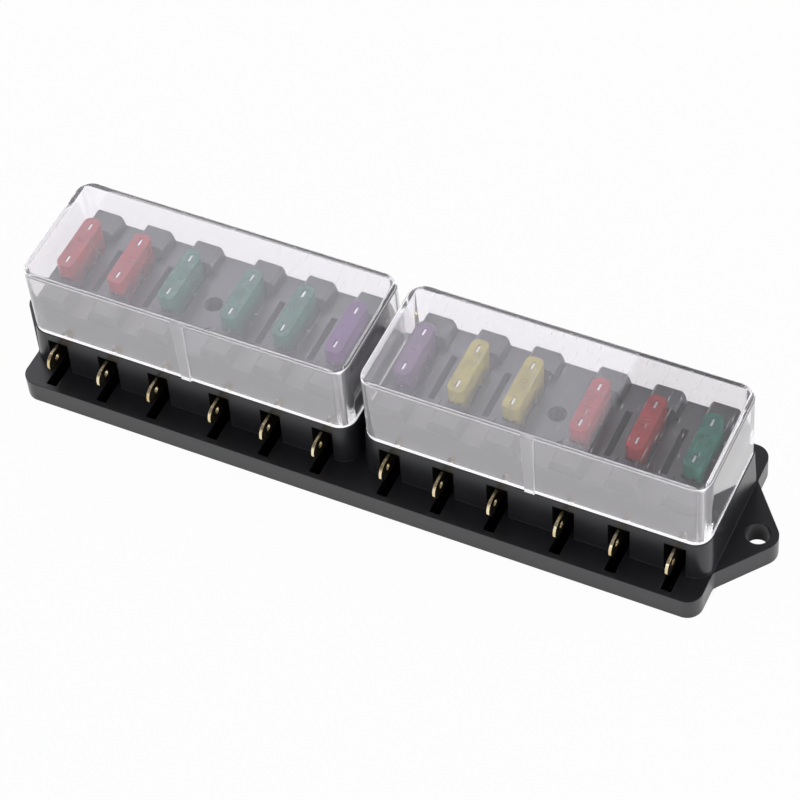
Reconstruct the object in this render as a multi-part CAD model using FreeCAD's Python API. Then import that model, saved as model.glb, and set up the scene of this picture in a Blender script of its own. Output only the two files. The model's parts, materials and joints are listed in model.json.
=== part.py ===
"""Twelve-way blade fuse block: a black moulded base, two clear covers, twelve
plug-in blade fuses and twenty-four brass terminals.

Frame: X runs along the row of fuses, Y across it, +Z up.  The origin is the
bottom centre of the base plate.  All sizes are in millimetres.
"""
import FreeCAD
import Part
import math
import os

# Row of fuses
FUSE_PITCH = 16.0
MIDDLE_PITCH = 19.3
FUSES_PER_GROUP = 3

# Blade fuse
FUSE_LENGTH = 19.1
FUSE_HEIGHT = 12.4
HEAD_WIDTH = 5.1
HEAD_HEIGHT = 4.6
HEAD_CORNER_RADIUS = 1.9
LEG_WIDTH = 4.0
LEG_END_INSET = 0.6
LEG_SPAN = 4.9
WAIST_WIDTH = 2.9
WAIST_RISE = 1.2
CHAMBER_WIDTH = 1.8
BLADE_END_INSET = 0.3
BLADE_WIDTH = 5.2
BLADE_THICKNESS = 0.65
BLADE_REACH = 6.6
BLADE_TIP_CHAMFER = 0.9
TEST_POINT_END_INSET = 1.85
TEST_POINT_LENGTH = 2.5
TEST_POINT_DEPTH = 0.3
LINK_WIDTH = 0.9
LINK_FOOT_RISE = 2.0
LINK_CREST_RISE = 6.0
LINK_CREST_LENGTH = 3.4
ELEMENT_CLEARANCE = 0.05

# Base plate and ears
PLATE_THICKNESS = 7.2
PLATE_CORNER_RADIUS = 4.5
PLATE_END_LIP = 0.2
FLANGE_WIDTH = 8.1
EAR_HALF_WIDTH = 16.6
EAR_REACH = 12.0
EAR_TIP_RADIUS = 5.0
EAR_ROOT_RADIUS = 2.0
EAR_HOLE_DIAMETER = 6.8
EAR_HOLE_EDGE = 5.7

# Raised blocks, decks and posts
LEDGE_ABOVE_PLATE = 13.4
LEDGE_WIDTH = 0.3
BLOCK_DRAFT_RUN = 0.6
BLOCK_CORNER_RADIUS = 5.0
DECK_END_MARGIN = 6.55
SEAT_ABOVE_LEDGE = 6.7
POCKET_DEPTH = 3.7
POCKET_WIDTH = 6.6
POCKET_END_CLEARANCE = 0.35
POST_DEPTH = 6.8
POST_SETBACK = 0.5
POST_RISE = 3.9
POST_BASE_WIDTH = 10.0
POST_SHOULDER_WIDTH = 8.6
POST_TOP_WIDTH = 7.0
POST_CHAMFER = 1.1
DECK_SLOT_WIDTH = 1.8
DECK_SLOT_LENGTH = 16.0
DECK_SLOT_DEPTH = 7.0
CENTRE_RECESS_DIAMETER = 5.2
CENTRE_RECESS_DEPTH = 8.0

# Windows, terminal chambers and the hollow underside
WINDOW_WIDTH = 6.2
WINDOW_HEADROOM = 0.4
WINDOW_POCKET_DEPTH = 7.1
PLATE_SLOT_WIDTH = 3.2
PLATE_SLOT_END_CLEARANCE = 0.6
CHAMBER_SIDE_WIDTH = 9.2
SEAT_FLOOR_THICKNESS = 1.9
CONTACT_SLOT_WIDTH = 5.8
CONTACT_SLOT_CLEARANCE = 0.25
GUIDE_CLEARANCE = 0.1
RIB_THICKNESS = 1.5
CORE_ROOF_HEIGHT = 17.0
SKIRT_THICKNESS = 1.6

# Brass terminals
TAB_WIDTH = 6.3
TAB_THICKNESS = 0.8
TAB_CENTRE_ABOVE_PLATE = 7.2
TAB_PROJECTION = 5.8
TAB_TIP_CHAMFER = 1.7
TAB_HOLE_DIAMETER = 2.2
TAB_HOLE_SIDES = 8
TAB_HOLE_FROM_TIP = 4.0
LEAF_THICKNESS = 0.6
LEAF_CLEARANCE = 0.05
LEAF_FLARE = 1.3
LEAF_FLARE_HEIGHT = 1.6
LEAF_BELOW_SEAT = 0.3

# Clear covers
COVER_WALL = 1.5
COVER_TOP_THICKNESS = 1.2
COVER_FIT = 0.5
COVER_GAP = 3.4
COVER_HEADROOM = 3.3
COVER_EDGE_CHAMFER = 1.0
COVER_INNER_RADIUS = 1.5
COVER_RIB_TOP_WIDTH = 3.9
COVER_RIB_FOOT_WIDTH = 3.0
COVER_RIB_DEPTH = 0.6
CRUSH_RIB_OFFSET = 2.4
CRUSH_RIB_WIDTH = 0.8
CRUSH_RIB_HEIGHT = 3.0
CRUSH_RIB_CLEARANCE = 0.15

# Heights worked out from the sizes above
LEDGE_HEIGHT = PLATE_THICKNESS + LEDGE_ABOVE_PLATE
SEAT_HEIGHT = LEDGE_HEIGHT + SEAT_ABOVE_LEDGE
DECK_HEIGHT = SEAT_HEIGHT + POCKET_DEPTH
FUSE_TOP = SEAT_HEIGHT + FUSE_HEIGHT
HEAD_FOOT = FUSE_TOP - HEAD_HEIGHT
COVER_TOP = FUSE_TOP + COVER_HEADROOM + COVER_TOP_THICKNESS
TAB_CENTRE_HEIGHT = PLATE_THICKNESS + TAB_CENTRE_ABOVE_PLATE
TAB_TOP = TAB_CENTRE_HEIGHT + TAB_WIDTH / 2

# Half depths, from the middle of the row outwards
POCKET_HALF_LENGTH = FUSE_LENGTH / 2 + POCKET_END_CLEARANCE
DECK_HALF_DEPTH = POCKET_HALF_LENGTH + POST_DEPTH + POST_SETBACK
COVER_HALF_DEPTH = DECK_HALF_DEPTH + COVER_FIT + COVER_WALL
LEDGE_HALF_DEPTH = COVER_HALF_DEPTH + LEDGE_WIDTH
FOOT_HALF_DEPTH = LEDGE_HALF_DEPTH + BLOCK_DRAFT_RUN
PLATE_HALF_DEPTH = FOOT_HALF_DEPTH + FLANGE_WIDTH
TAB_TIP_Y = FOOT_HALF_DEPTH + TAB_PROJECTION
GUIDE_OUTER_Y = FOOT_HALF_DEPTH - WINDOW_POCKET_DEPTH
BLADE_OUTER_Y = FUSE_LENGTH / 2 - BLADE_END_INSET
BLADE_INNER_Y = BLADE_OUTER_Y - BLADE_WIDTH
BLADE_Y = (BLADE_INNER_Y + BLADE_OUTER_Y) / 2
TEST_POINT_Y = FUSE_LENGTH / 2 - TEST_POINT_END_INSET - TEST_POINT_LENGTH / 2

# Half lengths of one block and of the whole plate
ROW_HALF_LENGTH = MIDDLE_PITCH / 2 + (FUSES_PER_GROUP - 1) * FUSE_PITCH
DECK_HALF_LENGTH = ROW_HALF_LENGTH + DECK_END_MARGIN
COVER_HALF_LENGTH = DECK_HALF_LENGTH + COVER_FIT + COVER_WALL
LEDGE_HALF_LENGTH = COVER_HALF_LENGTH + LEDGE_WIDTH
FOOT_HALF_LENGTH = LEDGE_HALF_LENGTH + BLOCK_DRAFT_RUN
BLOCK_X = COVER_HALF_LENGTH + COVER_GAP / 2
PLATE_HALF_LENGTH = BLOCK_X + FOOT_HALF_LENGTH + PLATE_END_LIP
EAR_HOLE_X = PLATE_HALF_LENGTH + EAR_REACH - EAR_HOLE_EDGE

# Cutters start this far outside the face that they cut
CUT_MARGIN = 1.0


def point(x, y, z):
    """A point or direction."""
    return FreeCAD.Vector(x, y, z)


def box(x_range, y_range, z_range):
    """A box between two values on each axis."""
    size = [high - low for low, high in (x_range, y_range, z_range)]
    return Part.makeBox(*size, point(x_range[0], y_range[0], z_range[0]))


def centred(middle, width):
    """The range of a width about its middle."""
    return (middle - width / 2, middle + width / 2)


def rounded_rectangle(centre_x, half_x, half_y, radius, z):
    """A closed outline in a level plane, with quarter-circle corners."""
    edges = []
    corners = ((1, 1, 0), (-1, 1, 90), (-1, -1, 180), (1, -1, 270))
    up = point(0, 0, 1)
    for side_x, side_y, start in corners:
        middle = point(centre_x + side_x * (half_x - radius), side_y * (half_y - radius), z)
        edges.append(Part.makeCircle(radius, middle, up, start, start + 90))
    arcs = list(edges)
    for index, arc in enumerate(arcs):
        following = arcs[(index + 1) % len(arcs)]
        edges.append(Part.makeLine(arc.Vertexes[-1].Point, following.Vertexes[0].Point))
    return Part.Wire(Part.__sortEdges__(edges))


def level_prism(outline, height):
    """A level outline pushed straight up."""
    return Part.Face(outline).extrude(point(0, 0, height))


def profile_along_y(outline_xz, y_range):
    """A polygon drawn in the XZ plane and pushed along Y."""
    corners = [point(x, y_range[0], z) for x, z in outline_xz]
    wire = Part.makePolygon(corners + corners[:1])
    return Part.Face(wire).extrude(point(0, y_range[1] - y_range[0], 0))


def profile_along_x(outline_yz, x_range):
    """A polygon drawn in the YZ plane and pushed along X."""
    corners = [point(x_range[0], y, z) for y, z in outline_yz]
    wire = Part.makePolygon(corners + corners[:1])
    return Part.Face(wire).extrude(point(x_range[1] - x_range[0], 0, 0))


def mirrored_pair(shape):
    """A front piece and the same piece on the back of the row."""
    return [shape, shape.mirror(point(0, 0, 0), point(0, 1, 0))]


def moved_along(shape, x):
    """A copy of a shape, moved along the row."""
    copy = shape.copy()
    copy.translate(point(x, 0, 0))
    return copy


def level_edges(shape, z):
    """The edges of a shape that lie in one level plane."""
    return [
        edge for edge in shape.Edges
        if abs(edge.BoundBox.ZMin - z) < 1e-6 and abs(edge.BoundBox.ZMax - z) < 1e-6
    ]


def block_fuse_offsets():
    """The X of the fuses of one block, from the middle of that block."""
    offsets = [MIDDLE_PITCH / 2 + step * FUSE_PITCH for step in range(FUSES_PER_GROUP)]
    return sorted([-offset for offset in offsets] + offsets)


def fuse_positions():
    """The X of each fuse, from the left end of the row to the right."""
    return [side * BLOCK_X + offset for side in (-1, 1) for offset in block_fuse_offsets()]


def gap_positions():
    """The X midway between neighbouring fuses of one group."""
    halves = [
        MIDDLE_PITCH / 2 + (step + 0.5) * FUSE_PITCH for step in range(FUSES_PER_GROUP - 1)
    ]
    one_block = sorted([-half for half in halves] + halves)
    return [side * BLOCK_X + offset for side in (-1, 1) for offset in one_block]


def ear(side):
    """A flat triangular ear with a round tip that reaches past the plate's end."""
    tip_centre = PLATE_HALF_LENGTH + EAR_REACH - EAR_TIP_RADIUS
    to_root_x = PLATE_HALF_LENGTH - tip_centre
    root_distance = math.hypot(to_root_x, EAR_HALF_WIDTH)
    tangent = math.atan2(EAR_HALF_WIDTH, to_root_x) - math.acos(EAR_TIP_RADIUS / root_distance)
    touch_x = tip_centre + EAR_TIP_RADIUS * math.cos(tangent)
    touch_y = EAR_TIP_RADIUS * math.sin(tangent)
    buried_x = PLATE_HALF_LENGTH - EAR_TIP_RADIUS
    tip = point(side * (tip_centre + EAR_TIP_RADIUS), 0, 0)
    corners = [
        point(side * touch_x, touch_y, 0),
        point(side * PLATE_HALF_LENGTH, EAR_HALF_WIDTH, 0),
        point(side * buried_x, EAR_HALF_WIDTH, 0),
        point(side * buried_x, -EAR_HALF_WIDTH, 0),
        point(side * PLATE_HALF_LENGTH, -EAR_HALF_WIDTH, 0),
        point(side * touch_x, -touch_y, 0),
    ]
    edges = [Part.makeLine(start, end) for start, end in zip(corners, corners[1:])]
    edges.append(Part.Arc(corners[-1], tip, corners[0]).toShape())
    return level_prism(Part.Wire(edges), PLATE_THICKNESS)


def base_plate():
    """The flange plate with its two ears, blended where they meet."""
    outline = rounded_rectangle(
        0, PLATE_HALF_LENGTH, PLATE_HALF_DEPTH, PLATE_CORNER_RADIUS, 0)
    plate = level_prism(outline, PLATE_THICKNESS)
    plate = plate.fuse([ear(-1), ear(1)]).removeSplitter()
    roots = [
        edge for edge in plate.Edges
        if abs(edge.BoundBox.ZLength - PLATE_THICKNESS) < 1e-6
        and abs(abs(edge.CenterOfMass.x) - PLATE_HALF_LENGTH) < 1e-6
        and abs(abs(edge.CenterOfMass.y) - EAR_HALF_WIDTH) < 1e-6
    ]
    plate = plate.makeFillet(EAR_ROOT_RADIUS, roots)
    holes = []
    for side in (-1, 1):
        foot = point(side * EAR_HOLE_X, 0, -CUT_MARGIN)
        holes.append(Part.makeCylinder(
            EAR_HOLE_DIAMETER / 2, PLATE_THICKNESS + 2 * CUT_MARGIN, foot))
    return plate.cut(holes)


def raised_block(centre_x):
    """One drafted block of the base with the cover's ledge and its deck."""
    foot = rounded_rectangle(
        centre_x, FOOT_HALF_LENGTH, FOOT_HALF_DEPTH, BLOCK_CORNER_RADIUS, PLATE_THICKNESS)
    ledge = rounded_rectangle(
        centre_x, LEDGE_HALF_LENGTH, LEDGE_HALF_DEPTH, BLOCK_CORNER_RADIUS, LEDGE_HEIGHT)
    lower = Part.makeLoft([foot, ledge], True, True)
    deck_radius = BLOCK_CORNER_RADIUS - COVER_WALL
    outline = rounded_rectangle(
        centre_x, DECK_HALF_LENGTH, DECK_HALF_DEPTH, deck_radius, LEDGE_HEIGHT)
    deck = level_prism(outline, DECK_HEIGHT - LEDGE_HEIGHT)
    return lower.fuse(deck)


def post_pair(x):
    """The two posts that stand on the deck at the ends of one fuse."""
    top = DECK_HEIGHT + POST_RISE
    half_outline = [
        (POST_BASE_WIDTH / 2, SEAT_HEIGHT),
        (POST_BASE_WIDTH / 2, DECK_HEIGHT),
        (POST_SHOULDER_WIDTH / 2, top - POST_CHAMFER),
        (POST_TOP_WIDTH / 2, top),
    ]
    outline = half_outline + [(-half, z) for half, z in reversed(half_outline)]
    outline = [(x + across, z) for across, z in outline]
    y_range = (POCKET_HALF_LENGTH, POCKET_HALF_LENGTH + POST_DEPTH)
    return mirrored_pair(profile_along_y(outline, y_range))


def fuse_pocket(x):
    """The space round one fuse, with the slots for its two contacts below."""
    cutters = [box(
        centred(x, POCKET_WIDTH),
        centred(0, 2 * POCKET_HALF_LENGTH),
        (SEAT_HEIGHT, DECK_HEIGHT + CUT_MARGIN))]
    slot_length = BLADE_WIDTH + 2 * CONTACT_SLOT_CLEARANCE
    slot = box(
        centred(x, CONTACT_SLOT_WIDTH),
        centred(BLADE_Y, slot_length),
        (SEAT_HEIGHT - SEAT_FLOOR_THICKNESS - CUT_MARGIN, SEAT_HEIGHT + CUT_MARGIN))
    return cutters + mirrored_pair(slot)


def terminal_chamber(x):
    """The spaces that take the front and back terminals of one fuse."""
    inner_y = BLADE_INNER_Y - CONTACT_SLOT_CLEARANCE
    chamber_outer_y = BLADE_OUTER_Y + CONTACT_SLOT_CLEARANCE
    chamber = box(
        centred(x, CHAMBER_SIDE_WIDTH),
        (inner_y, chamber_outer_y),
        (-CUT_MARGIN, SEAT_HEIGHT - SEAT_FLOOR_THICKNESS))
    guide = box(
        centred(x, TAB_THICKNESS + 2 * GUIDE_CLEARANCE),
        (chamber_outer_y - CUT_MARGIN, GUIDE_OUTER_Y + CUT_MARGIN),
        (-CUT_MARGIN, TAB_TOP + GUIDE_CLEARANCE))
    window = box(
        centred(x, WINDOW_WIDTH),
        (GUIDE_OUTER_Y, FOOT_HALF_DEPTH + CUT_MARGIN),
        (PLATE_THICKNESS, TAB_TOP + WINDOW_HEADROOM))
    plate_slot = box(
        centred(x, PLATE_SLOT_WIDTH),
        (GUIDE_OUTER_Y, TAB_TIP_Y + PLATE_SLOT_END_CLEARANCE),
        (-CUT_MARGIN, PLATE_THICKNESS + CUT_MARGIN))
    cutters = []
    for cutter in (chamber, guide, window, plate_slot):
        cutters += mirrored_pair(cutter)
    return cutters


def deck_slot(x):
    """A narrow slot in the deck between two fuses."""
    return box(
        centred(x, DECK_SLOT_WIDTH),
        centred(0, DECK_SLOT_LENGTH),
        (DECK_HEIGHT - DECK_SLOT_DEPTH, DECK_HEIGHT + CUT_MARGIN))


def underside_core(x, pitch):
    """The hollow under the base between two fuses that are a pitch apart."""
    width = pitch - CHAMBER_SIDE_WIDTH - 2 * RIB_THICKNESS
    half_depth = FOOT_HALF_DEPTH - SKIRT_THICKNESS
    return box(
        centred(x, width),
        centred(0, 2 * half_depth),
        (-CUT_MARGIN, CORE_ROOF_HEIGHT))


def centre_recess(centre_x):
    """A round recess in the middle of one deck."""
    foot = point(centre_x, 0, DECK_HEIGHT - CENTRE_RECESS_DEPTH)
    return Part.makeCylinder(
        CENTRE_RECESS_DIAMETER / 2, CENTRE_RECESS_DEPTH + CUT_MARGIN, foot)


def base_housing():
    """The whole base moulding."""
    additions = []
    cutters = []
    for side in (-1, 1):
        additions.append(raised_block(side * BLOCK_X))
        cutters.append(centre_recess(side * BLOCK_X))
        cutters.append(underside_core(side * BLOCK_X, MIDDLE_PITCH))
    for x in fuse_positions():
        additions += post_pair(x)
        cutters += fuse_pocket(x)
        cutters += terminal_chamber(x)
    for x in gap_positions():
        cutters.append(deck_slot(x))
        cutters.append(underside_core(x, FUSE_PITCH))
    return base_plate().fuse(additions).removeSplitter().cut(cutters).removeSplitter()


def tab_hole():
    """The small detent hole of a tab, with a regular many-sided wall."""
    middle_y = TAB_TIP_Y - TAB_HOLE_FROM_TIP
    angles = [2 * math.pi * index / TAB_HOLE_SIDES for index in range(TAB_HOLE_SIDES)]
    outline = [
        (middle_y + TAB_HOLE_DIAMETER / 2 * math.cos(angle),
         TAB_CENTRE_HEIGHT + TAB_HOLE_DIAMETER / 2 * math.sin(angle))
        for angle in angles
    ]
    return profile_along_x(outline, centred(0, 2 * TAB_THICKNESS))


def terminal(x, side):
    """A brass strip with a flat tab outside and a two-leaf contact inside."""
    strip = box(
        centred(0, TAB_THICKNESS),
        (BLADE_INNER_Y, TAB_TIP_Y),
        centred(TAB_CENTRE_HEIGHT, TAB_WIDTH))
    tip_corners = [
        edge for edge in strip.Edges
        if edge.BoundBox.XLength > TAB_THICKNESS / 2 and edge.CenterOfMass.y > BLADE_OUTER_Y
    ]
    strip = strip.makeChamfer(TAB_TIP_CHAMFER, tip_corners)
    inner = BLADE_THICKNESS / 2 + LEAF_CLEARANCE
    outer = inner + LEAF_THICKNESS
    tip = SEAT_HEIGHT - LEAF_BELOW_SEAT
    bend = tip - LEAF_FLARE_HEIGHT
    right_half = [
        (outer, TAB_TOP),
        (outer, bend),
        (outer + LEAF_FLARE, tip),
        (inner + LEAF_FLARE, tip),
        (inner, bend),
        (inner, TAB_TOP + LEAF_THICKNESS),
    ]
    outline = right_half + [(-across, z) for across, z in reversed(right_half)]
    contact = profile_along_y(outline, (BLADE_INNER_Y, BLADE_OUTER_Y))
    piece = strip.cut(tab_hole()).fuse(contact).removeSplitter()
    if side < 0:
        piece = piece.mirror(point(0, 0, 0), point(0, 1, 0))
    return moved_along(piece, x)


def fuse_head():
    """The round-cornered head of a fuse."""
    outline = rounded_rectangle(
        0, HEAD_WIDTH / 2, FUSE_LENGTH / 2, HEAD_CORNER_RADIUS, HEAD_FOOT)
    return level_prism(outline, HEAD_HEIGHT)


def fuse_leg():
    """One thick leg of the fuse body, round one blade."""
    outer_y = FUSE_LENGTH / 2 - LEG_END_INSET
    return box(
        centred(0, LEG_WIDTH),
        (outer_y - LEG_SPAN, outer_y),
        (SEAT_HEIGHT, HEAD_FOOT))


def fuse_housing(x):
    """The tinted plastic body of one fuse, open between its blades."""
    leg_inner_y = FUSE_LENGTH / 2 - LEG_END_INSET - LEG_SPAN
    waist = box(
        centred(0, WAIST_WIDTH),
        centred(0, 2 * leg_inner_y),
        (SEAT_HEIGHT + WAIST_RISE, HEAD_FOOT))
    body = fuse_head().fuse(mirrored_pair(fuse_leg()) + [waist]).removeSplitter()
    blade_slot = box(
        centred(0, BLADE_THICKNESS + 2 * ELEMENT_CLEARANCE),
        centred(BLADE_Y, BLADE_WIDTH + 2 * ELEMENT_CLEARANCE),
        (SEAT_HEIGHT - CUT_MARGIN, HEAD_FOOT + ELEMENT_CLEARANCE))
    test_slot = box(
        centred(0, BLADE_THICKNESS + 2 * ELEMENT_CLEARANCE),
        centred(TEST_POINT_Y, TEST_POINT_LENGTH + 2 * ELEMENT_CLEARANCE),
        (HEAD_FOOT, FUSE_TOP + CUT_MARGIN))
    chamber = box(
        centred(0, CHAMBER_WIDTH),
        centred(0, 2 * BLADE_INNER_Y),
        (SEAT_HEIGHT - CUT_MARGIN, HEAD_FOOT))
    cutters = mirrored_pair(blade_slot) + mirrored_pair(test_slot) + [chamber]
    return moved_along(body.cut(cutters), x)


def fuse_element(x):
    """The stamped metal of one fuse: two blades, two test points and the link."""
    tip = SEAT_HEIGHT - BLADE_REACH
    blade = profile_along_x([
        (BLADE_INNER_Y + BLADE_TIP_CHAMFER, tip),
        (BLADE_OUTER_Y - BLADE_TIP_CHAMFER, tip),
        (BLADE_OUTER_Y, tip + BLADE_TIP_CHAMFER),
        (BLADE_OUTER_Y, HEAD_FOOT),
        (BLADE_INNER_Y, HEAD_FOOT),
        (BLADE_INNER_Y, tip + BLADE_TIP_CHAMFER),
    ], centred(0, BLADE_THICKNESS))
    test_point = box(
        centred(0, BLADE_THICKNESS),
        centred(TEST_POINT_Y, TEST_POINT_LENGTH),
        (HEAD_FOOT, FUSE_TOP - TEST_POINT_DEPTH))
    foot = SEAT_HEIGHT + LINK_FOOT_RISE
    crest = SEAT_HEIGHT + LINK_CREST_RISE
    upper_edge = [
        (-BLADE_INNER_Y, foot),
        (-LINK_CREST_LENGTH / 2, crest),
        (LINK_CREST_LENGTH / 2, crest),
        (BLADE_INNER_Y, foot),
    ]
    lower_edge = [(y, z - LINK_WIDTH) for y, z in reversed(upper_edge)]
    link = profile_along_x(upper_edge + lower_edge, centred(0, BLADE_THICKNESS))
    parts = mirrored_pair(blade)[1:] + mirrored_pair(test_point) + [link]
    return moved_along(blade.fuse(parts).removeSplitter(), x)


def cover_rib():
    """The grip rib on the front wall of a cover, narrower at its foot."""
    outline = [
        (-COVER_RIB_FOOT_WIDTH / 2, LEDGE_HEIGHT),
        (COVER_RIB_FOOT_WIDTH / 2, LEDGE_HEIGHT),
        (COVER_RIB_TOP_WIDTH / 2, COVER_TOP),
        (-COVER_RIB_TOP_WIDTH / 2, COVER_TOP),
    ]
    outer_y = COVER_HALF_DEPTH + COVER_RIB_DEPTH
    return profile_along_y(outline, (-outer_y, COVER_WALL - COVER_HALF_DEPTH))


def crush_ribs():
    """Short ribs inside the long walls that centre a cover on its deck."""
    ribs = []
    for x in block_fuse_offsets():
        ribs.append(box(
            centred(x + CRUSH_RIB_OFFSET, CRUSH_RIB_WIDTH),
            (DECK_HALF_DEPTH + CRUSH_RIB_CLEARANCE, COVER_HALF_DEPTH - COVER_WALL / 2),
            (LEDGE_HEIGHT, LEDGE_HEIGHT + CRUSH_RIB_HEIGHT)))
    return [half for rib in ribs for half in mirrored_pair(rib)]


def clear_cover(centre_x):
    """A clear box cover, open below, with a grip rib on its front wall."""
    outline = rounded_rectangle(
        0, COVER_HALF_LENGTH, COVER_HALF_DEPTH, BLOCK_CORNER_RADIUS, LEDGE_HEIGHT)
    shell = level_prism(outline, COVER_TOP - LEDGE_HEIGHT)
    shell = shell.makeChamfer(COVER_EDGE_CHAMFER, level_edges(shell, COVER_TOP))
    shell = shell.fuse(cover_rib())
    hollow_outline = rounded_rectangle(
        0, COVER_HALF_LENGTH - COVER_WALL, COVER_HALF_DEPTH - COVER_WALL,
        COVER_INNER_RADIUS, LEDGE_HEIGHT - CUT_MARGIN)
    hollow_height = COVER_TOP - COVER_TOP_THICKNESS - LEDGE_HEIGHT + CUT_MARGIN
    hollow = level_prism(hollow_outline, hollow_height)
    return moved_along(shell.cut(hollow).fuse(crush_ribs()).removeSplitter(), centre_x)


def write(name, shape):
    """One STEP file for one piece."""
    shape.exportStep(f"parts/{name}.step")
    print(f"{name}: {len(shape.Solids)} solid, {shape.Volume:.1f} mm3, valid {shape.isValid()}")


def main():
    """Build every piece and write it."""
    os.makedirs("parts", exist_ok=True)
    write("base_housing", base_housing())
    write("cover_left", clear_cover(-BLOCK_X))
    write("cover_right", clear_cover(BLOCK_X))
    for number, x in enumerate(fuse_positions(), start=1):
        write(f"fuse_housing_{number:02d}", fuse_housing(x))
        write(f"fuse_element_{number:02d}", fuse_element(x))
        write(f"terminal_front_{number:02d}", terminal(x, -1))
        write(f"terminal_back_{number:02d}", terminal(x, 1))


main()
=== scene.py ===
# %% [markdown]
# A blade fuse block, dressed for the camera.
# The real thing is a black moulded base with two clear covers, a row of coloured
# fuses under them and a brass tab at each window along the sides.
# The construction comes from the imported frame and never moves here. This lesson
# gives each piece its finish, models the covers and the small moulded details
# again with smooth edges, and lights them as a plain studio would.

# %% Load the frame
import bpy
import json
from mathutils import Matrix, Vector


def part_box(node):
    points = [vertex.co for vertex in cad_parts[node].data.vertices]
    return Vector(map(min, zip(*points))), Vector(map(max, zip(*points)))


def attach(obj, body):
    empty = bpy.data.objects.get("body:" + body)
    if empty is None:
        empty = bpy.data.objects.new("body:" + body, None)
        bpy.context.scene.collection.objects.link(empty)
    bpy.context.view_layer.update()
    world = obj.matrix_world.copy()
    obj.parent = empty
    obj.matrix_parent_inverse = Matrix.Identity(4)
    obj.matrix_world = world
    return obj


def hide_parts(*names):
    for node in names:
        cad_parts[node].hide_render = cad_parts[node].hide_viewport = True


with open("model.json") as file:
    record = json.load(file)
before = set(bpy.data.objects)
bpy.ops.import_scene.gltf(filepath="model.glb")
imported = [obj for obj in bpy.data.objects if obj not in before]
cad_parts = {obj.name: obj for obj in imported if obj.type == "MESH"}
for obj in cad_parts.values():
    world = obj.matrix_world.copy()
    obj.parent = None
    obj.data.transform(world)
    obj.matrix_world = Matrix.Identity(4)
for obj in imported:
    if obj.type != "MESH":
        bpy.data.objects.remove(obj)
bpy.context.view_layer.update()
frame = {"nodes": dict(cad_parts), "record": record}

# %% Modules and units
import json
import math
import bmesh
import bpy
from mathutils import Matrix, Vector

MM = 0.001
TINY = 1e-6
nodes = frame["nodes"]
fuse_numbers = [f"{number:02d}" for number in range(1, 13)]
print("fuses", fuse_numbers[0], "to", fuse_numbers[-1])


# %% [markdown]
# Every finish below is a set of shader nodes. Short helpers keep the cells
# readable: they start a material and hand back its main shader, add a node and
# fill its sockets, join two sockets, do a sum, move a value to another span, split
# a vector and mix two shaders. Patterns read Object coordinates, because each
# piece sits at the origin with its place in its mesh, so a pattern stays at its
# real scale in metres.

# %% Shader helpers
def find_node(tree, kind):
    """The first node of one kind in a tree."""
    return next(node for node in tree.nodes if node.type == kind)


def new_material(name):
    """A material with nodes, its tree and its Principled shader."""
    material = bpy.data.materials.new(name)
    material.use_nodes = True
    tree = material.node_tree
    return material, tree, find_node(tree, "BSDF_PRINCIPLED")


def add_node(tree, kind, **values):
    """A node of one kind, with its named sockets or settings filled in."""
    node = tree.nodes.new(kind)
    for name, value in values.items():
        socket = name.replace("_", " ").title()
        if socket in node.inputs:
            node.inputs[socket].default_value = value
        else:
            setattr(node, name, value)
    return node


def join(tree, source, output, target, entry):
    """A link from one node's output to another node's input."""
    tree.links.new(source.outputs[output], target.inputs[entry])


def colour_ramp(tree, stops):
    """A colour ramp from a list of (place, colour) stops."""
    ramp = tree.nodes.new("ShaderNodeValToRGB")
    for index, (place, colour) in enumerate(stops):
        if index < 2:
            element = ramp.color_ramp.elements[index]
        else:
            element = ramp.color_ramp.elements.new(place)
        element.position = place
        element.color = (*colour, 1.0)
    return ramp


def maths(tree, operation, *entries):
    """A maths node; each entry is a number or an (output node, name) pair."""
    node = add_node(tree, "ShaderNodeMath", operation=operation)
    for index, entry in enumerate(entries):
        if isinstance(entry, tuple):
            join(tree, *entry, node, index)
        else:
            node.inputs[index].default_value = entry
    return node, "Value"


def remap(tree, entry, span=(0.0, 1.0), result=(0.0, 1.0)):
    """A value moved from one span to another, and held at that span's ends."""
    node = add_node(
        tree, "ShaderNodeMapRange", from_min=span[0], from_max=span[1],
        to_min=result[0], to_max=result[1])
    join(tree, *entry, node, "Value")
    return node, "Result"


def split(tree, source, output):
    """The three parts of a vector, as one node with outputs X, Y and Z."""
    parts = add_node(tree, "ShaderNodeSeparateXYZ")
    join(tree, source, output, parts, "Vector")
    return parts


def show_mix(tree, share, first, second):
    """Shows the first shader, and the second one in its place by a share."""
    mixed = add_node(tree, "ShaderNodeMixShader")
    join(tree, *share, mixed, 0)
    join(tree, *first, mixed, 1)
    join(tree, *second, mixed, 2)
    join(tree, mixed, "Shader", find_node(tree, "OUTPUT_MATERIAL"), "Surface")


print("helpers ready")
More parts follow.
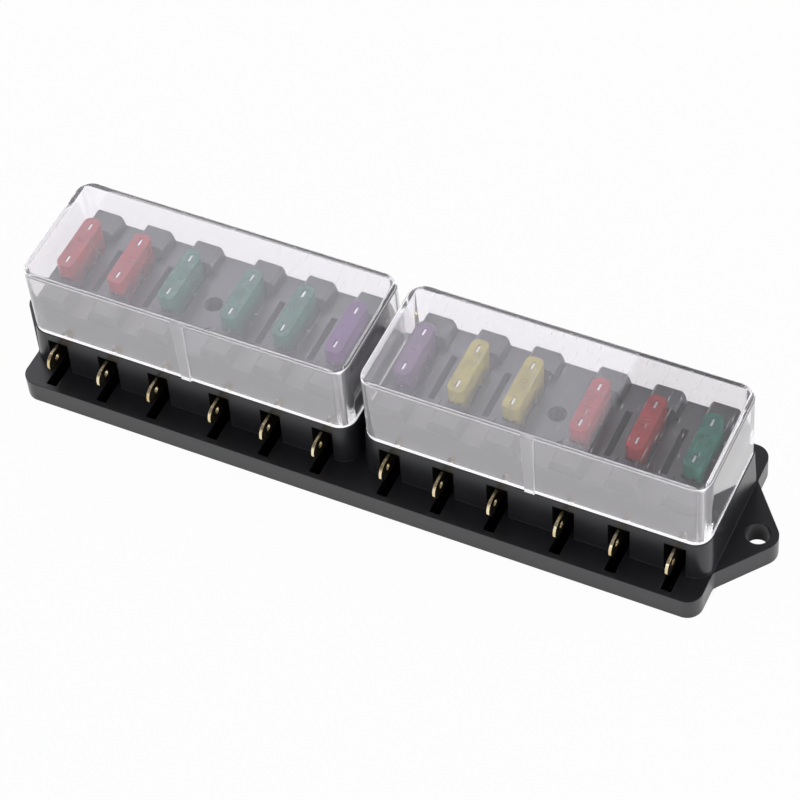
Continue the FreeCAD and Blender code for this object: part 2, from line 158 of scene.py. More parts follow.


# %% [markdown]
# The base is black glass-filled nylon with a fine spark-eroded grain. It looks
# matt from above, but its walls show the pale bench at a low angle, and in the
# photograph the decks under the covers mirror a little more. Its windows,
# slots and pits look almost black, because little light gets in. That shade is
# painted: an occlusion node finds those places and takes the gloss down there,
# and the walls of the plate's slots, found by where they are, lose their gloss
# and get a darker colour. A real moulding also has small round edges that catch
# a thin line of light. Those could be modelled on every edge of the base, but a
# Bevel node bends the shading instead, which costs no faces and leaves the base
# as it was built.

# %% Black moulded plastic
GRAIN_SCALE = 2600.0
GRAIN_STRENGTH = 0.12
GRAIN_DEPTH = 0.05 * MM
MOTTLE_SCALE = 90.0
EDGE_SOFTNESS = 0.35 * MM
# Painted shade: these numbers take the gloss down in windows, slots and pits.
CAVITY_REACH = 9.0 * MM
CAVITY_OPEN = (0.15, 0.60)
SHINE_WITH_CAVITY_SHADE = (0.04, 0.50)
NYLON_DARK = (0.012, 0.012, 0.0150)
NYLON_PALE = (0.019, 0.019, 0.0225)
NYLON_ROUGHNESS = (0.25, 0.35)
NYLON_IOR = 1.53
# Painted shade: these numbers find the walls of the plate's slots and darken them.
SLOT_TOP = 7.0 * MM
SLOT_REACH = 26.0 * MM
SLOT_END = 101.0 * MM
SLOT_SHADE = 0.35
DECK_START = 25.0 * MM
DECK_SHINE = 1.3


def outside_painted_slot_shade(tree, parts):
    """Nought below the plate's top and inside its edges, one elsewhere: painted slot shade."""
    above = maths(tree, "GREATER_THAN", (parts, "Z"), SLOT_TOP)
    across = maths(tree, "ABSOLUTE", (parts, "Y"))
    outside = maths(tree, "GREATER_THAN", across, SLOT_REACH)
    along = maths(tree, "ABSOLUTE", (parts, "X"))
    beyond = maths(tree, "GREATER_THAN", along, SLOT_END)
    return maths(tree, "MAXIMUM", maths(tree, "MAXIMUM", above, outside), beyond)


def deck_shine(tree, parts):
    """More gloss for the decks and posts, as the photograph shows them."""
    high = maths(tree, "GREATER_THAN", (parts, "Z"), DECK_START)
    return maths(tree, "ADD", maths(tree, "MULTIPLY", high, DECK_SHINE), 1.0)


def black_plastic():
    """Matt black nylon with grain, mottling, painted shade in cavities and slots, soft edges."""
    material, tree, shader = new_material("black_nylon")
    place = add_node(tree, "ShaderNodeTexCoord")
    grain = add_node(tree, "ShaderNodeTexNoise", scale=GRAIN_SCALE, detail=3.0)
    mottle = add_node(tree, "ShaderNodeTexNoise", scale=MOTTLE_SCALE, detail=4.0)
    shade = colour_ramp(tree, [(0.3, NYLON_DARK), (0.75, NYLON_PALE)])
    edge = add_node(tree, "ShaderNodeBevel", radius=EDGE_SOFTNESS, samples=6)
    bump = add_node(
        tree, "ShaderNodeBump", strength=GRAIN_STRENGTH, distance=GRAIN_DEPTH)
    painted_cavity_shade = add_node(tree, "ShaderNodeAmbientOcclusion", distance=CAVITY_REACH, samples=6)
    join(tree, place, "Object", grain, "Vector")
    join(tree, place, "Object", mottle, "Vector")
    join(tree, mottle, "Fac", shade, "Fac")
    join(tree, grain, "Fac", bump, "Height")
    join(tree, edge, "Normal", bump, "Normal")
    parts = split(tree, place, "Object")
    outside = outside_painted_slot_shade(tree, parts)
    # Painted shade: the gloss falls where the occlusion node finds a cavity.
    shine_with_painted_shade = maths(
        tree, "MULTIPLY",
        remap(tree, (painted_cavity_shade, "AO"), CAVITY_OPEN, SHINE_WITH_CAVITY_SHADE), deck_shine(tree, parts))
    # Painted shade: no gloss on the walls of the plate's slots.
    join(tree, *maths(tree, "MULTIPLY", shine_with_painted_shade, outside), shader, "Specular IOR Level")
    # Painted shade: the walls of the plate's slots get a darker colour.
    shown = add_node(tree, "ShaderNodeVectorMath", operation="SCALE")
    join(tree, shade, "Color", shown, 0)
    join(tree, *maths(tree, "MAXIMUM", outside, SLOT_SHADE), shown, "Scale")
    join(tree, shown, "Vector", shader, "Base Color")
    roughness = remap(tree, (mottle, "Fac"), result=NYLON_ROUGHNESS)
    join(tree, *roughness, shader, "Roughness")
    join(tree, bump, "Normal", shader, "Normal")
    shader.inputs["IOR"].default_value = NYLON_IOR
    return material


black_nylon = black_plastic()
print("material", black_nylon.name)


# %% [markdown]
# The tabs are stamped brass strip. Rolling leaves fine streaks along the strip
# and the stamped edges are brighter than the face. A metal shader with a noise
# stretched along one axis gives the streaks, and a slower noise lets the tarnish
# vary, which a single flat yellow could not do.

# %% Brass and fuse metal
STREAK_SCALE = 1400.0
STREAK_STRENGTH = 0.08
STREAK_DEPTH = 0.02 * MM
TARNISH_SCALE = 220.0
STRIP_EDGE = 0.15 * MM
BRASS_DARK = (0.64, 0.50, 0.26)
BRASS_BRIGHT = (0.90, 0.78, 0.54)
BRASS_ROUGHNESS = (0.14, 0.28)
ZINC_DARK = (0.62, 0.62, 0.63)
ZINC_BRIGHT = (0.86, 0.86, 0.87)
ZINC_ROUGHNESS = (0.22, 0.40)


def rolled_metal(name, dark, bright, roughness, stretch):
    """Rolled sheet metal with streaks along one axis and a little tarnish."""
    material, tree, shader = new_material(name)
    place = add_node(tree, "ShaderNodeTexCoord")
    mapping = add_node(tree, "ShaderNodeMapping")
    mapping.inputs["Scale"].default_value = stretch
    streaks = add_node(tree, "ShaderNodeTexNoise", scale=STREAK_SCALE, detail=2.0)
    tarnish = add_node(tree, "ShaderNodeTexNoise", scale=TARNISH_SCALE, detail=3.0)
    colour = colour_ramp(tree, [(0.35, dark), (0.62, bright)])
    edge = add_node(tree, "ShaderNodeBevel", radius=STRIP_EDGE, samples=6)
    bump = add_node(
        tree, "ShaderNodeBump", strength=STREAK_STRENGTH, distance=STREAK_DEPTH)
    join(tree, edge, "Normal", bump, "Normal")
    join(tree, place, "Object", mapping, "Vector")
    join(tree, mapping, "Vector", streaks, "Vector")
    join(tree, place, "Object", tarnish, "Vector")
    join(tree, tarnish, "Fac", colour, "Fac")
    join(tree, streaks, "Fac", bump, "Height")
    join(tree, colour, "Color", shader, "Base Color")
    join(tree, *remap(tree, (streaks, "Fac"), result=roughness), shader, "Roughness")
    join(tree, bump, "Normal", shader, "Normal")
    shader.inputs["Metallic"].default_value = 1.0
    return material


brass = rolled_metal(
    "rolled_brass", BRASS_DARK, BRASS_BRIGHT, BRASS_ROUGHNESS, stretch=(1.0, 0.08, 1.0))
fuse_metal = rolled_metal(
    "tinned_zinc", ZINC_DARK, ZINC_BRIGHT, ZINC_ROUGHNESS, stretch=(1.0, 1.0, 0.1))
print("materials", brass.name, fuse_metal.name)


# %% [markdown]
# Each fuse body is tinted clear plastic, with one colour for each rating. Light
# goes into it, picks up the tint and comes out of its edges, so the corners look
# deeper than the faces. Glass alone would turn black over the dark base, so the
# shader mixes a share of plain scattering with the transmission.

# %% Tinted fuse plastic
FLOW_SCALE = 260.0
FLOW_STRENGTH = 0.05
FLOW_DEPTH = 0.1 * MM
DEEP_SHARE = 0.72
LIGHT_SHARE = 1.18
FUSE_EDGE = 0.3 * MM
FUSE_ROUGHNESS = 0.22
FUSE_IOR = 1.5
FUSE_CLEARNESS = 0.50


def tinted_plastic(name, tint):
    """Translucent plastic of one tint, with slight flow marks."""
    material, tree, shader = new_material(name)
    place = add_node(tree, "ShaderNodeTexCoord")
    flow = add_node(tree, "ShaderNodeTexNoise", scale=FLOW_SCALE, detail=2.0)
    deep = tuple(DEEP_SHARE * part for part in tint)
    light = tuple(min(1.0, LIGHT_SHARE * part) for part in tint)
    colour = colour_ramp(tree, [(0.3, deep), (0.7, light)])
    edge = add_node(tree, "ShaderNodeBevel", radius=FUSE_EDGE, samples=4)
    bump = add_node(tree, "ShaderNodeBump", strength=FLOW_STRENGTH, distance=FLOW_DEPTH)
    join(tree, place, "Object", flow, "Vector")
    join(tree, flow, "Fac", colour, "Fac")
    join(tree, flow, "Fac", bump, "Height")
    join(tree, edge, "Normal", bump, "Normal")
    join(tree, colour, "Color", shader, "Base Color")
    join(tree, bump, "Normal", shader, "Normal")
    shader.inputs["Roughness"].default_value = FUSE_ROUGHNESS
    shader.inputs["IOR"].default_value = FUSE_IOR
    shader.inputs["Transmission Weight"].default_value = FUSE_CLEARNESS
    return material


FUSE_TINTS = {
    "fuse_red": (0.72, 0.030, 0.035),
    "fuse_green": (0.010, 0.26, 0.17),
    "fuse_violet": (0.25, 0.05, 0.36),
    "fuse_lilac": (0.27, 0.13, 0.33),
    "fuse_yellow": (0.86, 0.72, 0.12),
}
fuse_plastics = {
    slot: tinted_plastic(slot + "_plastic", tint) for slot, tint in FUSE_TINTS.items()}
print("fuse plastics", sorted(fuse_plastics))


# %% [markdown]
# The covers are clear polystyrene, which has a high refractive index, so their
# edges show strong bright and dark lines. Handling leaves hairline scratches on
# the top. The round edges, most of all the level ones, get a painted highlight
# for the thin lines of lamp light they catch, and the grip rib, most of all on
# its sides, a painted sheen. In the photograph the front walls look milkier than
# the top and the back walls. Each of these is a share of scattering beside the
# clear part, so one haze value carries them all. The band at the rim is made
# nearly white, and it and the round edges get a small painted glow, for the light
# that clear plastic pipes along its walls and lets out there. Light has to reach
# what is under a cover too: for the lamps' shadow rays the shader turns into
# plain transparency, as a thin clear wall really is.

# %% Clear cover plastic
COVER_TINT = (0.998, 0.983, 1.0, 1.0)
COVER_IOR = 1.58
COVER_ROUGHNESS = (0.01, 0.04)
WEAR_SCALE = 60.0
TOP_HAZE = 0.055
FRONT_HAZE = 0.22
BACK_HAZE = 0.05
FRONT_TO_BACK = (-1.0 * MM, 1.0 * MM)
WALL_FACING = (0.3, 0.9)
LEVEL_FACING = 0.9
# Painted highlight: extra scattering on the round edges and on the band at the rim.
EDGE_HIGHLIGHT_HAZE = 0.40
RIM_HIGHLIGHT_HAZE = 0.90
SCRATCH_HAZE = 0.45
HAIRLINE_SCALE = 480.0
HAIRLINE_FADE = (0.01, 0.06)
HAIRLINES = ((0.4, 0.05), (-0.7, 0.08), (1.3, 0.03), (2.2, 0.12))
SCRATCHED = (-60.0 * MM, 60.0 * MM)
SCRATCH_SHARES = (0.35, 1.0)
# Painted highlight: how the round edges of a cover are found and lit up.
EDGE_GAIN = 3.4
EDGE_POWER = 3.0
EDGE_FACING = (0.05, 0.25)
EDGE_SHARES = (0.30, 1.0)
PAINTED_EDGE_GLOW = 0.20
# Painted glow on the band at the rim, which is no lamp.
PAINTED_RIM_GLOW = 0.40
RIM_BAND = (20.55 * MM, 21.05 * MM)
RIB_START = -19.22 * MM
# Painted sheen on the grip rib, most on its sides.
RIB_SHEEN = 0.12
RIB_SIDE_SHEEN = 0.5
SHADOW_PASS = 0.88


def hairlines(tree, place, turn, squeeze):
    """Short straight scratches: the middles of long thin random cells."""
    mapping = add_node(tree, "ShaderNodeMapping")
    mapping.inputs["Rotation"].default_value = (0.0, 0.0, turn)
    mapping.inputs["Scale"].default_value = (1.0, squeeze, 1.0)
    cells = add_node(
        tree, "ShaderNodeTexVoronoi", voronoi_dimensions="2D", scale=HAIRLINE_SCALE)
    join(tree, place, "Object", mapping, "Vector")
    join(tree, mapping, "Vector", cells, "Vector")
    fade = remap(tree, (cells, "Distance"), HAIRLINE_FADE, (1.0, 0.0))
    strength = add_node(tree, "ShaderNodeSeparateColor")
    join(tree, cells, "Color", strength, "Color")
    return maths(tree, "MULTIPLY", fade, (strength, "Red"))


def edge_highlights(tree, facing):
    """Painted highlight: near one on a level round edge, small on an upright one, nought on a
    face.
    """
    sizes = [maths(tree, "ABSOLUTE", (facing, axis)) for axis in "XYZ"]
    largest = maths(tree, "MAXIMUM", maths(tree, "MAXIMUM", sizes[0], sizes[1]), sizes[2])
    turned = maths(tree, "MULTIPLY", maths(tree, "SUBTRACT", 1.0, largest), EDGE_GAIN)
    level = remap(tree, sizes[2], EDGE_FACING, EDGE_SHARES)
    return maths(tree, "MULTIPLY", maths(tree, "POWER", turned, EDGE_POWER), level)


def scratches(tree, place, parts, facing):
    """Sparse hairlines in four directions on the top, most on the right cover."""
    rightward = remap(tree, (parts, "X"), SCRATCHED, SCRATCH_SHARES)
    on_top = maths(tree, "GREATER_THAN", (facing, "Z"), LEVEL_FACING)
    lines = hairlines(tree, place, *HAIRLINES[0])
    for turn, squeeze in HAIRLINES[1:]:
        lines = maths(tree, "MAXIMUM", lines, hairlines(tree, place, turn, squeeze))
    lines = maths(tree, "MULTIPLY", lines, on_top)
    lines = maths(tree, "MULTIPLY", lines, rightward)
    return maths(tree, "MULTIPLY", lines, SCRATCH_HAZE)


def rib_sheen(tree, parts, facing):
    """A little painted sheen on the grip rib, and more on its two sides."""
    ribbed = maths(tree, "LESS_THAN", (parts, "Y"), RIB_START)
    side = maths(tree, "MULTIPLY", maths(tree, "ABSOLUTE", (facing, "X")), RIB_SIDE_SHEEN)
    return maths(tree, "MULTIPLY", ribbed, maths(tree, "ADD", side, RIB_SHEEN))


def cover_shares(tree, place):
    """The shares of scattering and of painted glow over a cover, painted highlights included."""
    facing = split(tree, add_node(tree, "ShaderNodeNewGeometry"), "Normal")
    parts = split(tree, place, "Object")
    long_wall = remap(tree, (parts, "Y"), FRONT_TO_BACK, (FRONT_HAZE, BACK_HAZE))
    sideways = maths(tree, "ABSOLUTE", (facing, "Y"))
    level = remap(tree, sideways, WALL_FACING, (TOP_HAZE, FRONT_HAZE))
    join(tree, *long_wall, level[0], "To Max")
    # Painted highlight: the round edges get extra scattering and a small glow.
    edge_highlight = edge_highlights(tree, facing)
    # Painted highlight: the band at the rim is made nearly white and glows a little.
    middle = (RIM_BAND[0] + RIM_BAND[1]) / 2
    rim = maths(tree, "COMPARE", (parts, "Z"), middle, RIM_BAND[1] - middle)
    haze = maths(tree, "ADD", level, maths(tree, "MULTIPLY", edge_highlight, EDGE_HIGHLIGHT_HAZE))
    haze = maths(tree, "ADD", haze, scratches(tree, place, parts, facing))
    # Painted sheen on the grip rib, most on its sides.
    haze = maths(tree, "ADD", haze, rib_sheen(tree, parts, facing))
    haze = maths(tree, "MAXIMUM", haze, maths(tree, "MULTIPLY", rim, RIM_HIGHLIGHT_HAZE))
    # Painted glow on the round edges and the rim, though they are no lamp.
    glow = maths(
        tree, "MAXIMUM",
        maths(tree, "MULTIPLY", edge_highlight, PAINTED_EDGE_GLOW), maths(tree, "MULTIPLY", rim, PAINTED_RIM_GLOW))
    return haze, glow


def clear_plastic():
    """Clear polystyrene with haze, painted edge and rim highlights, and a painted glow."""
    material, tree, shader = new_material("clear_polystyrene")
    place = add_node(tree, "ShaderNodeTexCoord")
    haze, glow = cover_shares(tree, place)
    join(tree, *glow, shader, "Emission Strength")
    shader.inputs["Emission Color"].default_value = (1.0, 1.0, 1.0, 1.0)
    clear = maths(tree, "SUBTRACT", 1.0, haze)
    join(tree, *clear, shader, "Transmission Weight")
    wear = add_node(tree, "ShaderNodeTexNoise", scale=WEAR_SCALE, detail=3.0)
    join(tree, place, "Object", wear, "Vector")
    roughness = remap(tree, (wear, "Fac"), result=COVER_ROUGHNESS)
    join(tree, *roughness, shader, "Roughness")
    shader.inputs["Base Color"].default_value = COVER_TINT
    shader.inputs["IOR"].default_value = COVER_IOR
    rays = add_node(tree, "ShaderNodeLightPath")
    share = maths(tree, "MULTIPLY", (rays, "Is Shadow Ray"), SHADOW_PASS)
    passing = add_node(tree, "ShaderNodeBsdfTransparent")
    show_mix(tree, share, (shader, "BSDF"), (passing, "BSDF"))
    return material


clear_polystyrene = clear_plastic()
print("material", clear_polystyrene.name)


# %% [markdown]
# The nodes whose shape is right keep their mesh and only get a finish. The
# record says which slot each of them takes, so one loop dresses them all.

# %% Dress the nodes
slot_finish = {
    "black_plastic": black_nylon,
    "brass": brass,
    "fuse_metal": fuse_metal,
    "clear_plastic": clear_polystyrene,
    **fuse_plastics,
}
node_slot = {part["node"]: part["material_slot"] for part in frame["record"]["subparts"]}


def dress(piece, material):
    """Puts one material on a whole piece."""
    piece.data.materials.clear()
    piece.data.materials.append(material)


for name, slot_name in node_slot.items():
    dress(nodes[name], slot_finish[slot_name])
print("dressed", len(node_slot), "nodes")


# %% [markdown]
# A cover is a thin box with round upright corners, a softer edge round its top,
# a grip rib on its front wall and short crush ribs inside its rim. It could be
# built face by face, but a cube whose edges are bevelled, with a second one cut
# out of it, gives the same form in a few steps. The size comes from the node
# that it stands for.

# %% Box helpers
def round_edges(shape, edges, radius, segments):
    """Rounds some edges of a bmesh."""
    bmesh.ops.bevel(
        shape, geom=edges, offset=radius, segments=segments,
        affect="EDGES", profile=0.5, material=-1)


def upright_box(low, high, corner_radius, segments):
    """An upright box with its four standing edges rounded, as a bmesh."""
    shape = bmesh.new()
    bmesh.ops.create_cube(shape, size=1.0)
    bmesh.ops.scale(shape, vec=high - low, verts=shape.verts)
    bmesh.ops.translate(shape, vec=(low + high) / 2, verts=shape.verts)
    if corner_radius > 0:
        standing = [
            edge for edge in shape.edges
            if abs(edge.verts[0].co.z - edge.verts[1].co.z) > TINY]
        round_edges(shape, standing, corner_radius, segments)
    return shape


def soften_level_edges(shape, height, radius, segments):
    """Rounds the edges of a bmesh that lie at one height."""
    level = [
        edge for edge in shape.edges
        if all(abs(corner.co.z - height) < TINY for corner in edge.verts)]
    round_edges(shape, level, radius, segments)


def add_object(name, data):
    """A new object at the origin, linked to the scene."""
    piece = bpy.data.objects.new(name, data)
    bpy.context.scene.collection.objects.link(piece)
    return piece


def as_object(shape, name):
    """An object at the origin made from a bmesh."""
    mesh = bpy.data.meshes.new(name)
    bmesh.ops.recalc_face_normals(shape, faces=shape.faces)
    shape.to_mesh(mesh)
    shape.free()
    return add_object(name, mesh)


def shown_mesh(piece):
    """A new mesh of a piece as its modifiers or its font shape it."""
    shown = piece.evaluated_get(bpy.context.evaluated_depsgraph_get())
    return bpy.data.meshes.new_from_object(shown)


def combine(piece, other, operation):
    """Joins or cuts one piece with another, and removes the other."""
    tool = piece.modifiers.new("combine", "BOOLEAN")
    tool.operation = operation
    tool.solver = "EXACT"
    tool.object = other
    mesh = shown_mesh(piece)
    piece.modifiers.clear()
    piece.data = mesh
    bpy.data.objects.remove(other)


print("box helpers ready")

# %% Cover sizes
COVER_WALL = 1.5 * MM
COVER_TOP = 1.2 * MM
COVER_CORNER = 5.0 * MM
COVER_CORNER_STEPS = 12
COVER_EDGE = 1.0 * MM
COVER_EDGE_STEPS = 5
INNER_CORNER = 1.5 * MM
INNER_CORNER_STEPS = 8
INNER_EDGE = 0.5 * MM
INNER_EDGE_STEPS = 3
COVER_SHARP = math.radians(32)
RIB_DEPTH = 0.6 * MM
RIB_TOP_WIDTH = 3.9 * MM
RIB_FOOT_WIDTH = 3.0 * MM
RIB_EDGE = 0.25 * MM
CRUSH_OFFSET = 2.4 * MM
CRUSH_SIZE = Vector((0.8, 0.35, 3.0)) * MM
GATE_PLACE = 8.8 * MM
GATE_RADIUS = 0.8 * MM
GATE_INSET = 1.5 * MM
GATE_DEPTH = 0.35 * MM
GATE_STEPS = 24


def grip_rib(centre_x, low, high):
    """The grip rib of the front wall, narrower at its foot."""
    inner_y = low.y + RIB_DEPTH + COVER_WALL / 2
    rib = upright_box(
        Vector((centre_x - RIB_TOP_WIDTH / 2, low.y, low.z)),
        Vector((centre_x + RIB_TOP_WIDTH / 2, inner_y, high.z)), 0, 1)
    for corner in rib.verts:
        if abs(corner.co.z - low.z) < TINY:
            corner.co.x = centre_x + (corner.co.x - centre_x) * RIB_FOOT_WIDTH / RIB_TOP_WIDTH
    outer = [
        edge for edge in rib.edges
        if all(abs(end.co.y - low.y) < TINY for end in edge.verts)]
    round_edges(rib, outer, RIB_EDGE, 2)
    return rib


def gate_mark(centre_x, front_y, top):
    """The little round pit where the plastic entered the mould."""
    pit = bmesh.new()
    bmesh.ops.create_cone(
        pit, cap_ends=True, segments=GATE_STEPS,
        radius1=GATE_RADIUS, radius2=GATE_RADIUS, depth=2 * GATE_DEPTH)
    bmesh.ops.translate(
        pit, vec=(centre_x + GATE_PLACE, front_y + GATE_INSET, top), verts=pit.verts)
    return pit


print("rib depth", RIB_DEPTH)


# %% Covers
def crush_rib(fuse_x, side, wall_y, foot):
    """A short rib inside the rim that centres the cover on its deck."""
    near = wall_y - CRUSH_SIZE.y
    far = wall_y + COVER_WALL / 2
    middle_x = fuse_x + CRUSH_OFFSET
    return upright_box(
        Vector((middle_x - CRUSH_SIZE.x / 2, min(side * near, side * far), foot)),
        Vector((middle_x + CRUSH_SIZE.x / 2, max(side * near, side * far), foot + CRUSH_SIZE.z)),
        0, 1)


def clear_cover(name, fuse_xs):
    """One clear cover, built in the place of its node."""
    low, high = (Vector(corner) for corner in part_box(name))
    centre_x = (low.x + high.x) / 2
    body_low = Vector((low.x, low.y + RIB_DEPTH, low.z))
    body_high = Vector(high)
    outer = upright_box(body_low, body_high, COVER_CORNER, COVER_CORNER_STEPS)
    soften_level_edges(outer, body_high.z, COVER_EDGE, COVER_EDGE_STEPS)
    cover = as_object(outer, name.replace("cover", "clear_cover"))
    combine(cover, as_object(grip_rib(centre_x, low, high), "rib"), "UNION")
    combine(cover, as_object(gate_mark(centre_x, body_low.y, high.z), "pit"), "DIFFERENCE")
    wall = Vector((COVER_WALL, COVER_WALL, COVER_TOP))
    hollow_low = body_low + wall
    hollow_low.z = low.z - COVER_TOP
    hollow_high = body_high - wall
    hollow = upright_box(hollow_low, hollow_high, INNER_CORNER, INNER_CORNER_STEPS)
    soften_level_edges(hollow, hollow_high.z, INNER_EDGE, INNER_EDGE_STEPS)
    combine(cover, as_object(hollow, "hollow"), "DIFFERENCE")
    for fuse_x in fuse_xs:
        for side in (-1, 1):
            rib = crush_rib(fuse_x, side, body_high.y - COVER_WALL, low.z)
            combine(cover, as_object(rib, "crush_rib"), "UNION")
    return cover


def smooth_with_flat_faces(piece, angle):
    """Smooth shading on round edges that leaves the large faces flat."""
    piece.data.shade_smooth()
    piece.data.set_sharp_from_angle(angle=angle)
    weighted = piece.modifiers.new("flat_faces", "WEIGHTED_NORMAL")
    weighted.keep_sharp = True


fuse_x = {}
for number in fuse_numbers:
    low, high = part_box("fuse_housing_" + number)
    fuse_x[number] = (low[0] + high[0]) / 2

for side_name, numbers in (("left", fuse_numbers[:6]), ("right", fuse_numbers[6:])):
    cover = clear_cover("cover_" + side_name, [fuse_x[number] for number in numbers])
    smooth_with_flat_faces(cover, COVER_SHARP)
    dress(cover, clear_polystyrene)
    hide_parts("cover_" + side_name)
    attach(cover, side_name + "_cover")
    print(cover.name, len(cover.data.vertices), "vertices")


# %% [markdown]
# A real tab is stamped, so its tip is a smooth arc and its hole is round. The
# built tab has straight cuts there. A copy of it keeps everything else, and only
# the short edges across its thickness, at the tip and round the hole, are
# rounded off.

# %% Rounded tabs
TIP_REACH = 2.0 * MM
HOLE_REACH = 1.3 * MM
HOLE_FROM_TIP = 4.0 * MM
TIP_ROUND = 1.1 * MM
HOLE_ROUND = 0.38 * MM
FLAT_LIMIT = math.radians(2)
TAB_SHARP = math.radians(28)


def across_edges(shape, wanted):
    """The edges of a bmesh across the strip whose (y, z) place is wanted."""
    return [
        edge for edge in shape.edges
        if abs(edge.verts[0].co.y - edge.verts[1].co.y) < TINY
        and abs(edge.verts[0].co.z - edge.verts[1].co.z) < TINY
        and wanted(edge.verts[0].co.y, edge.verts[0].co.z)]


def rounded_tab(name, side):
    """A copy of one terminal with a round tip and a round hole."""
    low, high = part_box(name)
    tip_y = (low if side < 0 else high)[1]
    corners = nodes[name].data.vertices
    tip_heights = [corner.co.z for corner in corners if abs(corner.co.y - tip_y) < TINY]
    hole_y = tip_y - side * HOLE_FROM_TIP
    hole_z = (min(tip_heights) + max(tip_heights)) / 2
    shape = bmesh.new()
    shape.from_mesh(nodes[name].data)
    shape.transform(nodes[name].matrix_world)
    bmesh.ops.remove_doubles(shape, verts=shape.verts, dist=TINY)
    bmesh.ops.dissolve_limit(
        shape, angle_limit=FLAT_LIMIT, verts=shape.verts, edges=shape.edges)
    tip = across_edges(shape, lambda y, z: abs(y - tip_y) < TIP_REACH)
    round_edges(shape, tip, TIP_ROUND, 5)
    hole = across_edges(shape, lambda y, z: math.hypot(y - hole_y, z - hole_z) < HOLE_REACH)
    round_edges(shape, hole, HOLE_ROUND, 2)
    return as_object(shape, name.replace("terminal", "rounded_terminal"))


for number in fuse_numbers:
    for side, place in ((-1, "front"), (1, "back")):
        name = f"terminal_{place}_{number}"
        piece = rounded_tab(name, side)
        smooth_with_flat_faces(piece, TAB_SHARP)
        dress(piece, brass)
        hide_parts(name)
        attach(piece, "base")
print("tabs", 2 * len(fuse_numbers), "with", len(piece.data.vertices), "vertices each")


# %% [markdown]
# The rating is moulded on the head of each fuse as plain raised numerals. Font
# curves give clean outlines, so each number is typed, made a mesh, turned to
# read along the fuse and set on the head of its fuse.

# %% Numerals on the fuse heads
NUMERAL_HEIGHT = 2.7 * MM
NUMERAL_RISE = 0.12 * MM
FONT_TO_HEIGHT = 1.4
RATINGS = {
    "fuse_red": "10", "fuse_green": "30", "fuse_violet": "3", "fuse_lilac": "3",
    "fuse_yellow": "20"}


def numeral(text, centre, name):
    """Raised numerals on a level face, reading along the fuse."""
    curve = bpy.data.curves.new(name, "FONT")
    curve.body = text
    curve.align_x = "CENTER"
    curve.align_y = "CENTER"
    curve.size = NUMERAL_HEIGHT * FONT_TO_HEIGHT
    curve.extrude = NUMERAL_RISE
    curve.resolution_u = 3
    typed = add_object(name, curve)
    mesh = shown_mesh(typed)
    bpy.data.objects.remove(typed)
    mesh.transform(Matrix.Translation(centre) @ Matrix.Rotation(math.pi / 2, 4, "Z"))
    return add_object(name, mesh)


for number in fuse_numbers:
    low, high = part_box("fuse_housing_" + number)
    centre = Vector(((low[0] + high[0]) / 2, (low[1] + high[1]) / 2, high[2]))
    slot_name = node_slot["fuse_housing_" + number]
    piece = numeral(RATINGS[slot_name], centre, "numerals_" + number)
    dress(piece, fuse_plastics[slot_name])
    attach(piece, "fuse_" + number)
print("numerals", len(fuse_numbers))


# %% [markdown]
# The photograph's bench is a seamless white sweep. One large plane stands for
# it. Its colour shows as plain white to the camera, to gloss and through the
# clear covers, and a small share of it is an ordinary matt surface, so that the
# block keeps a faint shadow. Hardly any studio light arrives under the block, so
# there the bench goes dark, by how little of the sky a point of it sees. It stays
# white beyond the blocks, where the eye meets it through the ear hole.

# %% Floor
FLOOR_HALF_SIZE = 6.0
FLOOR_DROP = 0.1 * MM
FLOOR_GLOW = 0.97
FLOOR_PAINT = 0.85
UNDER_REACH = 25.0 * MM
UNDER_OPEN = (0.30, 0.38)
EAR_START = 104.0 * MM


def white_floor():
    """A white bench that glows for the eye and is matt for the light."""
    material, tree, shader = new_material("white_bench")
    tree.nodes.remove(shader)
    parts = split(tree, add_node(tree, "ShaderNodeTexCoord"), "Object")
    by_ear = maths(tree, "GREATER_THAN", maths(tree, "ABSOLUTE", (parts, "X")), EAR_START)
    sky = add_node(tree, "ShaderNodeAmbientOcclusion", distance=UNDER_REACH, samples=8)
    lit = remap(tree, maths(tree, "MAXIMUM", (sky, "AO"), by_ear), UNDER_OPEN)
    paint = add_node(tree, "ShaderNodeVectorMath", operation="SCALE")
    paint.inputs[0].default_value = (FLOOR_PAINT, FLOOR_PAINT, FLOOR_PAINT)
    join(tree, *lit, paint, "Scale")
    matt = add_node(tree, "ShaderNodeBsdfDiffuse")
    join(tree, paint, "Vector", matt, "Color")
    glow = add_node(tree, "ShaderNodeEmission", strength=1.0)
    rays = add_node(tree, "ShaderNodeLightPath")
    seen = maths(tree, "MAXIMUM", (rays, "Is Camera Ray"), (rays, "Is Glossy Ray"))
    seen = maths(tree, "MAXIMUM", seen, (rays, "Is Transmission Ray"))
    share = maths(tree, "MULTIPLY", seen, maths(tree, "MULTIPLY", lit, FLOOR_GLOW))
    show_mix(tree, share, (matt, "BSDF"), (glow, "Emission"))
    return material


plane = bmesh.new()
bmesh.ops.create_grid(plane, x_segments=1, y_segments=1, size=FLOOR_HALF_SIZE)
bmesh.ops.translate(plane, vec=(0.0, 0.0, -FLOOR_DROP), verts=plane.verts)
floor = as_object(plane, "bench")
dress(floor, white_floor())
print("floor", floor.name)


# %% [markdown]
# The world is the rest of the studio. It is white where the eye sees it, white
# low down where gloss sees the sweep, and dim overhead, where a studio has its
# dark ceiling: that is why the level black faces of the block stay so dark.

# %% World
WORLD_LOW = 1.0
WORLD_HIGH = 0.22
CEILING_FADE = (0.25, 0.55)


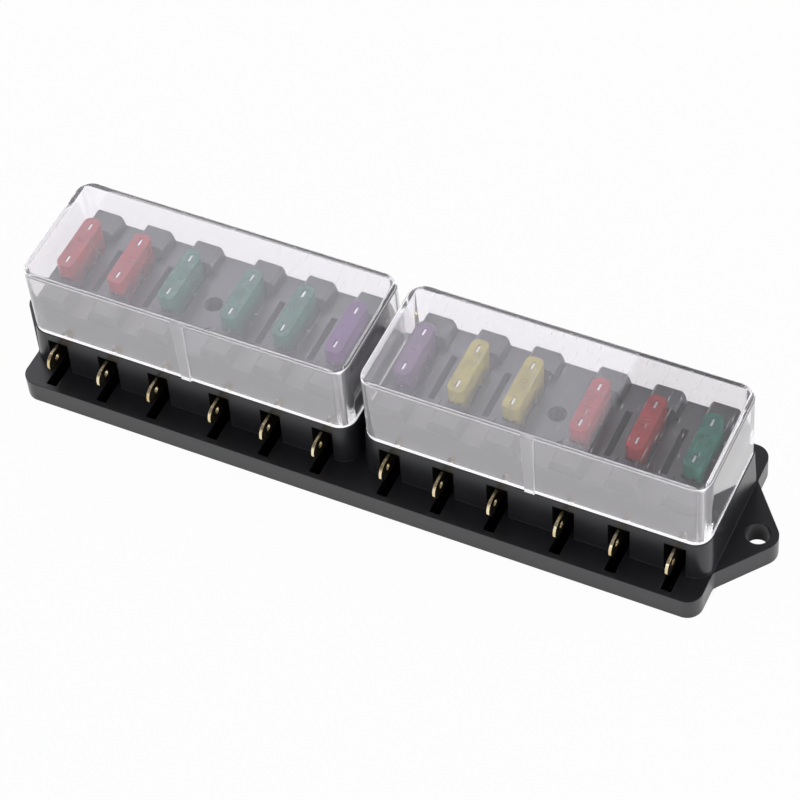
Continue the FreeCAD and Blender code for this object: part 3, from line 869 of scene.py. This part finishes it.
def studio_world():
    """White to the eye and near the horizon, dim overhead."""
    world = bpy.data.worlds.new("studio")
    bpy.context.scene.world = world
    world.use_nodes = True
    tree = world.node_tree
    back = find_node(tree, "BACKGROUND")
    back.inputs["Color"].default_value = (1.0, 1.0, 1.0, 1.0)
    parts = split(tree, add_node(tree, "ShaderNodeTexCoord"), "Generated")
    fade = remap(tree, (parts, "Z"), CEILING_FADE, (WORLD_LOW, WORLD_HIGH))
    rays = add_node(tree, "ShaderNodeLightPath")
    level = maths(tree, "MAXIMUM", fade, (rays, "Is Camera Ray"))
    join(tree, *level, back, "Strength")


studio_world()
print("world", bpy.context.scene.world.name)


# %% [markdown]
# Three soft boxes make the light. One hangs level over the back left, where the
# tops of the covers mirror it to the camera and look milky. One stands low on the
# right and lights the end walls, and one in front fills the long front walls.

# %% Lamps
LAMP_TINT = (0.93, 0.93, 1.0)
BLOCK_CENTRE = (0.0, 0.0, 0.02)
OVER_PLACE = (-0.533, 0.44, 0.65)
OVER_TARGET = (-0.533, 0.44, 0.0)
RIGHT_PLACE = (0.75, 0.15, 0.35)
FRONT_PLACE = (0.10, -0.95, 0.75)


def soft_box(name, place, target, width, height, glow):
    """An area lamp that faces a point, with its brightness per area given."""
    lamp = bpy.data.lights.new(name, "AREA")
    lamp.shape = "RECTANGLE"
    lamp.size = width
    lamp.size_y = height
    lamp.energy = glow * math.pi * width * height
    lamp.color = LAMP_TINT
    holder = add_object(name, lamp)
    holder.location = place
    aim = Vector(target) - Vector(place)
    holder.rotation_euler = aim.to_track_quat("-Z", "Y").to_euler()


soft_box("soft_box_over", OVER_PLACE, OVER_TARGET, width=0.814, height=0.60, glow=1.46)
soft_box("soft_box_right", RIGHT_PLACE, BLOCK_CENTRE, width=0.60, height=0.50, glow=3.0)
soft_box("soft_box_front", FRONT_PLACE, BLOCK_CENTRE, width=0.70, height=0.50, glow=1.8)
print("lamps", len(bpy.data.lights))


# %% [markdown]
# The camera stands where the photograph's stood. Its place and turn were fitted
# to the edges of the plate, the rims and the cover tops.

# %% Camera
IMAGE_WIDTH = 800
FOCAL_PIXELS = 2999.0
SENSOR = 36.0
NEAR_CLIP = 0.01
FAR_CLIP = 50.0
CAMERA_PLACE = (0.26568, -0.45137, 0.65907)
CAMERA_TURN = (0.67798, 0.06942, 0.43927)
camera_data = bpy.data.cameras.new("camera")
camera_data.sensor_width = SENSOR
camera_data.lens = FOCAL_PIXELS * SENSOR / IMAGE_WIDTH
camera_data.clip_start = NEAR_CLIP
camera_data.clip_end = FAR_CLIP
camera = add_object("camera", camera_data)
camera.location = CAMERA_PLACE
camera.rotation_euler = CAMERA_TURN
bpy.context.scene.camera = camera
bpy.context.scene.view_settings.view_transform = "Standard"
print("lens", round(camera_data.lens, 2))
